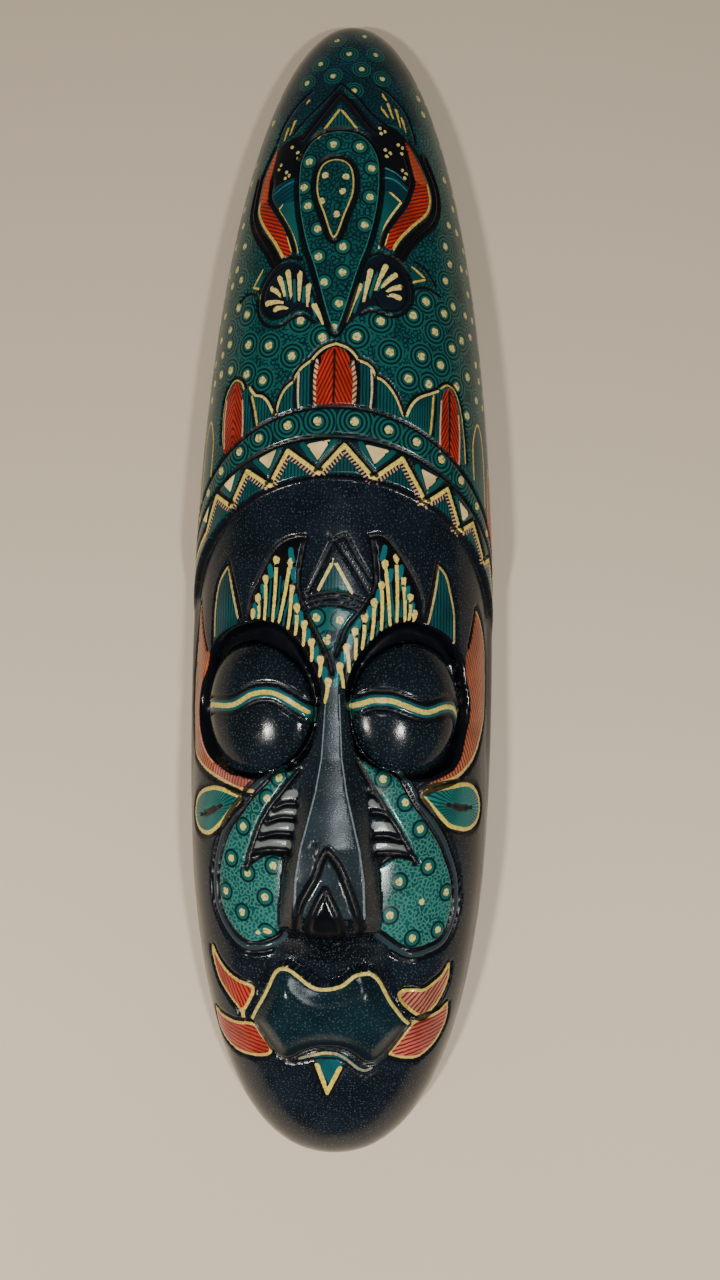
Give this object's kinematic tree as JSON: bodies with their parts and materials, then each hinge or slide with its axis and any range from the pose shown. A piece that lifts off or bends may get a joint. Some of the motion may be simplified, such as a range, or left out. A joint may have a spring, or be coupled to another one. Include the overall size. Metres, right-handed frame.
{
  "type": "decorative mask",
  "caption": "Long narrow carved mask with a rounded crown, bulging closed eyes, long nose and full lips, hollow at the back with a flat rim.",
  "frame": {"origin": "middle of the flat back rim's bounding box, on the surface the mask lies on", "axes": "+Y from the chin to the crown, +Z out of the face, +X to the right as one looks at the face"},
  "size_m": [0.135, 0.5, 0.0644],
  "materials": {
    "painted_wood": "satin"
  },
  "bodies": {
    "root": {"mask": "painted_wood"}
  },
  "joints": []
}
